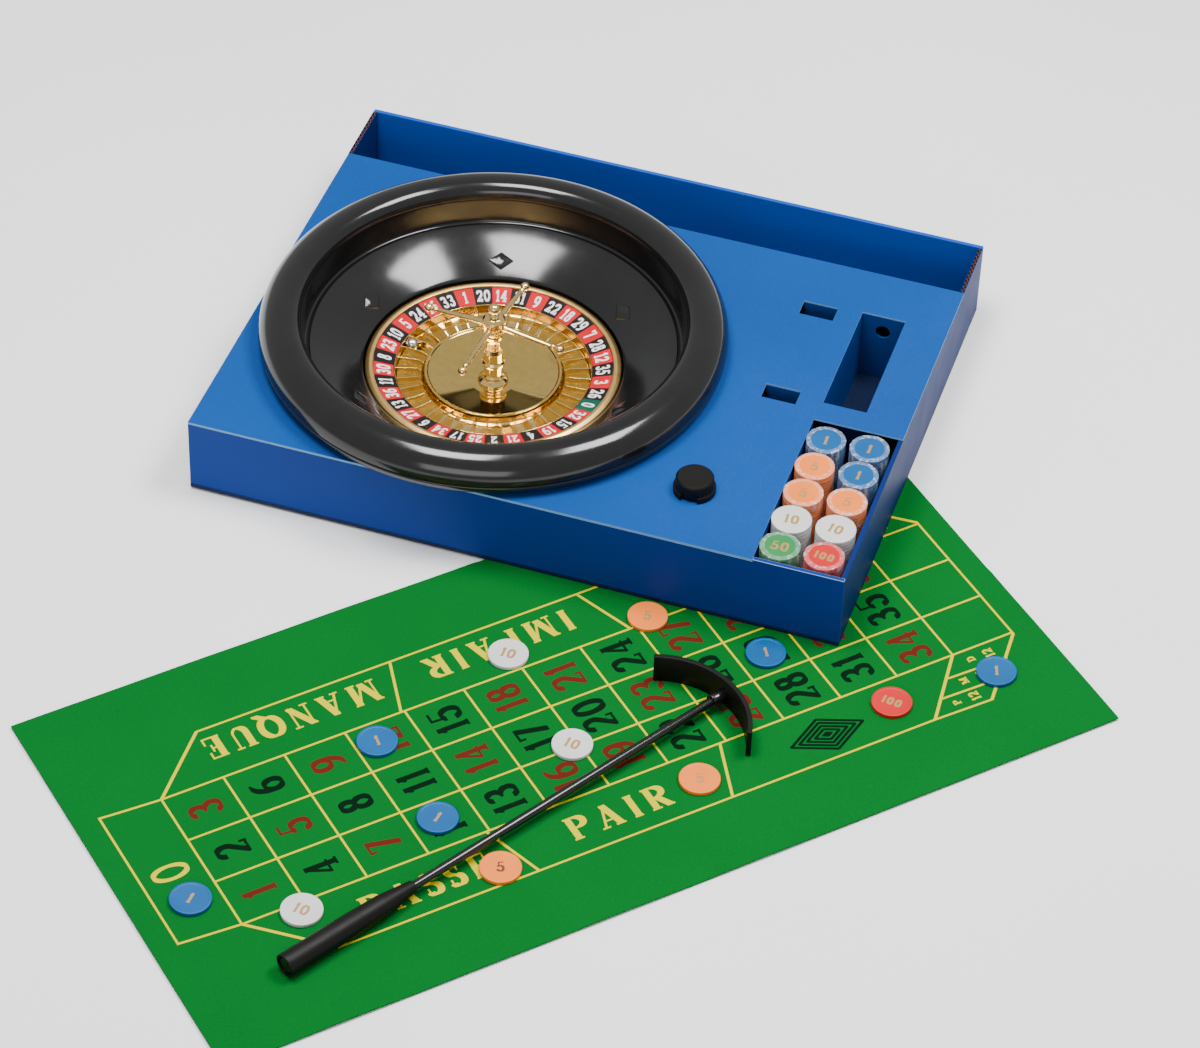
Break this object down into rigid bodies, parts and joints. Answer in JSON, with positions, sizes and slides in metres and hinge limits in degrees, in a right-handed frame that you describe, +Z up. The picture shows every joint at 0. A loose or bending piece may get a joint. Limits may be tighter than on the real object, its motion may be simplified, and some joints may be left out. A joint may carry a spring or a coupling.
{
  "type": "table-top roulette set",
  "caption": "Boxed table-top roulette set: card tray with spinning wheel in a bowl, stacked chips, printed felt layout, loose chips and a chip rake.",
  "frame": {"origin": "middle of the whole set's footprint on the table top", "axes": "+X along the tray's long side, +Y from the player to the tray's back, +Z up"},
  "size_m": [0.5246, 0.6516, 0.0718],
  "materials": {
    "card_dark_blue": "satin printed board, bare kraft at cut edges",
    "card_light_blue": "satin printed card, pale cut edges",
    "black_plastic": "moulded, slightly glossy",
    "gloss_black": "high gloss moulded",
    "gold_plastic": "gold metallised, polished",
    "number_print": "printed red, black and green cells with white numbers",
    "steel": "polished",
    "white_nylon": "moulded",
    "brass": "turned",
    "rubber": "matt",
    "chip_blue": "satin moulded, gold foil print",
    "chip_orange": "satin moulded, gold foil print",
    "chip_white": "satin moulded, gold foil print",
    "chip_green": "satin moulded, gold foil print",
    "chip_red": "satin moulded, gold foil print",
    "green_felt": "short felt, printed lines and numbers"
  },
  "bodies": {
    "tray": {"tray_back_wall": "card_dark_blue", "tray_floor": "card_dark_blue", "tray_front_wall": "card_dark_blue", "tray_left_wall": "card_dark_blue", "tray_right_wall": "card_dark_blue"},
    "insert": {"insert_back_flap": "card_light_blue", "insert_chip_flap": "card_light_blue", "insert_deck": "card_light_blue", "insert_slot_tabs": "card_light_blue", "insert_store_back": "card_light_blue", "insert_store_sides": "card_light_blue"},
    "knob": {"insert_knob": "black_plastic"},
    "bowl": {"wheel_bowl": "gloss_black", "ball_deflectors": "gloss_black", "spindle_pin": "steel", "spindle_screw": "steel", "spindle_washer": "white_nylon", "foot_pads": "rubber"},
    "rotor": {"bearing_bush": "brass", "centre_dish": "gold_plastic", "number_ring": "number_print", "pocket_frets": "gold_plastic", "ring_trim": "gold_plastic", "rotor_plate": "gold_plastic", "turret_arm_tips": "gold_plastic", "turret_arms": "gold_plastic", "turret_base": "gold_plastic", "turret_column": "gold_plastic", "turret_crown": "gold_plastic", "turret_finial": "gold_plastic"},
    "roulette_ball": {"ball": "steel"},
    "layout": {"layout_cloth": "green_felt"},
    "rake": {"rake_blade": "black_plastic", "rake_end_cap": "black_plastic", "rake_handle": "black_plastic", "rake_rod": "gloss_black", "rake_socket": "black_plastic"},
    "loose_chip_01_orange": {"loose_chip_01_orange": "chip_orange"},
    "loose_chip_02_white": {"loose_chip_02_white": "chip_white"},
    "loose_chip_03_blue": {"loose_chip_03_blue": "chip_blue"},
    "loose_chip_04_white": {"loose_chip_04_white": "chip_white"},
    "loose_chip_05_blue": {"loose_chip_05_blue": "chip_blue"},
    "loose_chip_06_blue": {"loose_chip_06_blue": "chip_blue"},
    "loose_chip_07_red": {"loose_chip_07_red": "chip_red"},
    "loose_chip_08_orange": {"loose_chip_08_orange": "chip_orange"},
    "loose_chip_09_blue": {"loose_chip_09_blue": "chip_blue"},
    "loose_chip_10_orange": {"loose_chip_10_orange": "chip_orange"},
    "loose_chip_11_white": {"loose_chip_11_white": "chip_white"},
    "loose_chip_12_blue": {"loose_chip_12_blue": "chip_blue"},
    "stack_left_1_green": {"stack_left_1_green": "chip_green"},
    "stack_left_2_white": {"stack_left_2_white": "chip_white"},
    "stack_left_3_orange": {"stack_left_3_orange": "chip_orange"},
    "stack_left_4_orange": {"stack_left_4_orange": "chip_orange"},
    "stack_left_5_blue": {"stack_left_5_blue": "chip_blue"},
    "stack_right_1_red": {"stack_right_1_red": "chip_red"},
    "stack_right_2_white": {"stack_right_2_white": "chip_white"},
    "stack_right_3_orange": {"stack_right_3_orange": "chip_orange"},
    "stack_right_4_blue": {"stack_right_4_blue": "chip_blue"},
    "stack_right_5_blue": {"stack_right_5_blue": "chip_blue"}
  },
  "joints": [
    {"name": "insert_lift", "type": "slide", "parent": "tray", "child": "insert", "axis": [0, 0, 1], "range_m": [0, 0.06]},
    {"name": "knob_lift", "type": "slide", "parent": "insert", "child": "knob", "axis": [0, 0, 1], "range_m": [0, 0.03]},
    {"name": "bowl_lift", "type": "slide", "parent": "insert", "child": "bowl", "axis": [0, 0, 1], "range_m": [0, 0.07]},
    {"name": "rotor_spin", "type": "hinge", "parent": "bowl", "child": "rotor", "pos_m": [-0.11472, 0.1578, 0.0258], "axis": [0, 0, 1], "continuous": true},
    {"name": "ball_lift", "type": "slide", "parent": "rotor", "child": "roulette_ball", "axis": [0, 0, 1], "range_m": [0, 0.06]},
    {"name": "layout_pull", "type": "slide", "parent": "tray", "child": "layout", "axis": [0.729, -0.6845, 0], "range_m": [0, 0.16]},
    {"name": "rake_lift", "type": "slide", "parent": "layout", "child": "rake", "axis": [0, 0, 1], "range_m": [0, 0.05]},
    {"name": "loose_chip_01_orange_lift", "type": "slide", "parent": "layout", "child": "loose_chip_01_orange", "axis": [0, 0, 1], "range_m": [0, 0.03]},
    {"name": "loose_chip_02_white_lift", "type": "slide", "parent": "layout", "child": "loose_chip_02_white", "axis": [0, 0, 1], "range_m": [0, 0.03]},
    {"name": "loose_chip_03_blue_lift", "type": "slide", "parent": "layout", "child": "loose_chip_03_blue", "axis": [0, 0, 1], "range_m": [0, 0.03]},
    {"name": "loose_chip_04_white_lift", "type": "slide", "parent": "layout", "child": "loose_chip_04_white", "axis": [0, 0, 1], "range_m": [0, 0.03]},
    {"name": "loose_chip_05_blue_lift", "type": "slide", "parent": "layout", "child": "loose_chip_05_blue", "axis": [0, 0, 1], "range_m": [0, 0.03]},
    {"name": "loose_chip_06_blue_lift", "type": "slide", "parent": "layout", "child": "loose_chip_06_blue", "axis": [0, 0, 1], "range_m": [0, 0.03]},
    {"name": "loose_chip_07_red_lift", "type": "slide", "parent": "layout", "child": "loose_chip_07_red", "axis": [0, 0, 1], "range_m": [0, 0.03]},
    {"name": "loose_chip_08_orange_lift", "type": "slide", "parent": "layout", "child": "loose_chip_08_orange", "axis": [0, 0, 1], "range_m": [0, 0.03]},
    {"name": "loose_chip_09_blue_lift", "type": "slide", "parent": "layout", "child": "loose_chip_09_blue", "axis": [0, 0, 1], "range_m": [0, 0.03]},
    {"name": "loose_chip_10_orange_lift", "type": "slide", "parent": "layout", "child": "loose_chip_10_orange", "axis": [0, 0, 1], "range_m": [0, 0.03]},
    {"name": "loose_chip_11_white_lift", "type": "slide", "parent": "layout", "child": "loose_chip_11_white", "axis": [0, 0, 1], "range_m": [0, 0.03]},
    {"name": "loose_chip_12_blue_lift", "type": "slide", "parent": "layout", "child": "loose_chip_12_blue", "axis": [0, 0, 1], "range_m": [0, 0.03]},
    {"name": "stack_left_1_green_lift", "type": "slide", "parent": "tray", "child": "stack_left_1_green", "axis": [0, 0, 1], "range_m": [0, 0.06]},
    {"name": "stack_left_2_white_lift", "type": "slide", "parent": "tray", "child": "stack_left_2_white", "axis": [0, 0, 1], "range_m": [0, 0.06]},
    {"name": "stack_left_3_orange_lift", "type": "slide", "parent": "tray", "child": "stack_left_3_orange", "axis": [0, 0, 1], "range_m": [0, 0.06]},
    {"name": "stack_left_4_orange_lift", "type": "slide", "parent": "tray", "child": "stack_left_4_orange", "axis": [0, 0, 1], "range_m": [0, 0.06]},
    {"name": "stack_left_5_blue_lift", "type": "slide", "parent": "tray", "child": "stack_left_5_blue", "axis": [0, 0, 1], "range_m": [0, 0.06]},
    {"name": "stack_right_1_red_lift", "type": "slide", "parent": "tray", "child": "stack_right_1_red", "axis": [0, 0, 1], "range_m": [0, 0.06]},
    {"name": "stack_right_2_white_lift", "type": "slide", "parent": "tray", "child": "stack_right_2_white", "axis": [0, 0, 1], "range_m": [0, 0.06]},
    {"name": "stack_right_3_orange_lift", "type": "slide", "parent": "tray", "child": "stack_right_3_orange", "axis": [0, 0, 1], "range_m": [0, 0.06]},
    {"name": "stack_right_4_blue_lift", "type": "slide", "parent": "tray", "child": "stack_right_4_blue", "axis": [0, 0, 1], "range_m": [0, 0.06]},
    {"name": "stack_right_5_blue_lift", "type": "slide", "parent": "tray", "child": "stack_right_5_blue", "axis": [0, 0, 1], "range_m": [0, 0.06]}
  ]
}
